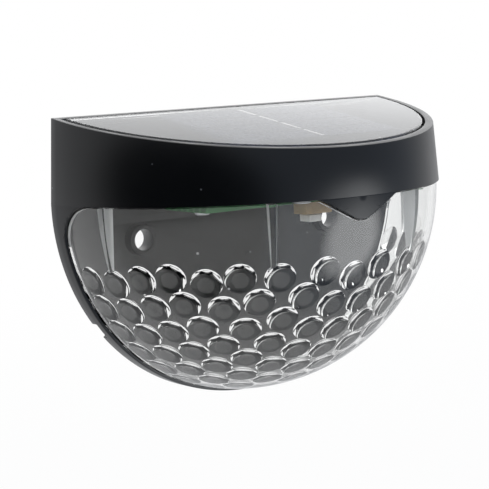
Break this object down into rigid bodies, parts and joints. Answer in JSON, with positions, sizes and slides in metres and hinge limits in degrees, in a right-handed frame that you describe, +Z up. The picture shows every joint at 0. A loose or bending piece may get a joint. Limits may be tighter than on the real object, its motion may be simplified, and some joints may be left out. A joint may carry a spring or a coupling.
{
  "type": "solar fence light",
  "caption": "Wall or fence lamp: half-round black hood with a sloping solar panel on top and a clear quarter-dome lens with dimples below it.",
  "frame": {"origin": "midway between the two screw holes, in the back face that rests on the wall or fence", "axes": "+Z up, -Y towards the front, +X to the right seen from the front"},
  "size_m": [0.115, 0.0605, 0.0805],
  "materials": {
    "housing_plastic": "black ABS, satin moulded face",
    "clear_lens": "clear styrene, smooth outside, convex dimples inside",
    "panel_epoxy": "poured clear epoxy with a soft edge",
    "solar_cells": "dark blue-grey silicon with fine lines",
    "ribbon_metal": "tinned ribbon",
    "panel_board": "black solder mask",
    "adhesive": "double-sided foam tape",
    "tray_plastic": "black ABS, fine grain",
    "screw_steel": "zinc-plated steel",
    "cell_wrap": "printed-free shrink sleeve",
    "contact_metal": "nickel-plated spring steel",
    "green_board": "green solder mask on glass-fibre board",
    "led_package": "white package with yellow phosphor",
    "chip_black": "moulded epoxy",
    "inductor_ferrite": "ferrite drum with enamelled wire",
    "capacitor_can": "drawn can on a black base",
    "chip_ceramic": "ceramic chips with tinned ends",
    "switch_tan": "tan moulded body",
    "switch_white": "white nylon",
    "lead_red": "soft insulation",
    "lead_black": "soft insulation"
  },
  "bodies": {
    "lamp": {"housing": "housing_plastic", "panel_epoxy": "panel_epoxy", "solar_cells": "solar_cells", "cell_ribbons": "ribbon_metal", "solar_board": "panel_board", "panel_adhesive": "adhesive", "tray": "tray_plastic", "tray_screws": "screw_steel", "battery_cell": "cell_wrap", "battery_contact_plus": "contact_metal", "battery_contact_minus": "contact_metal", "led_board": "green_board", "leds": "led_package", "driver_chip": "chip_black", "inductor": "inductor_ferrite", "capacitor": "capacitor_can", "chip_parts": "chip_ceramic", "switch_body": "switch_tan", "board_screws": "screw_steel", "solar_lead_red": "lead_red", "solar_lead_black": "lead_black", "battery_lead_red": "lead_red", "battery_lead_black": "lead_black"},
    "lens": {"lens": "clear_lens"},
    "knob": {"switch_knob": "switch_white"}
  },
  "joints": [
    {"name": "lens_pull", "type": "slide", "parent": "lamp", "child": "lens", "axis": [0, 0, -1], "range_m": [0, 0.06]},
    {"name": "switch_slide", "type": "slide", "parent": "lamp", "child": "knob", "axis": [1, 0, 0], "range_m": [0, 0.0015]}
  ]
}
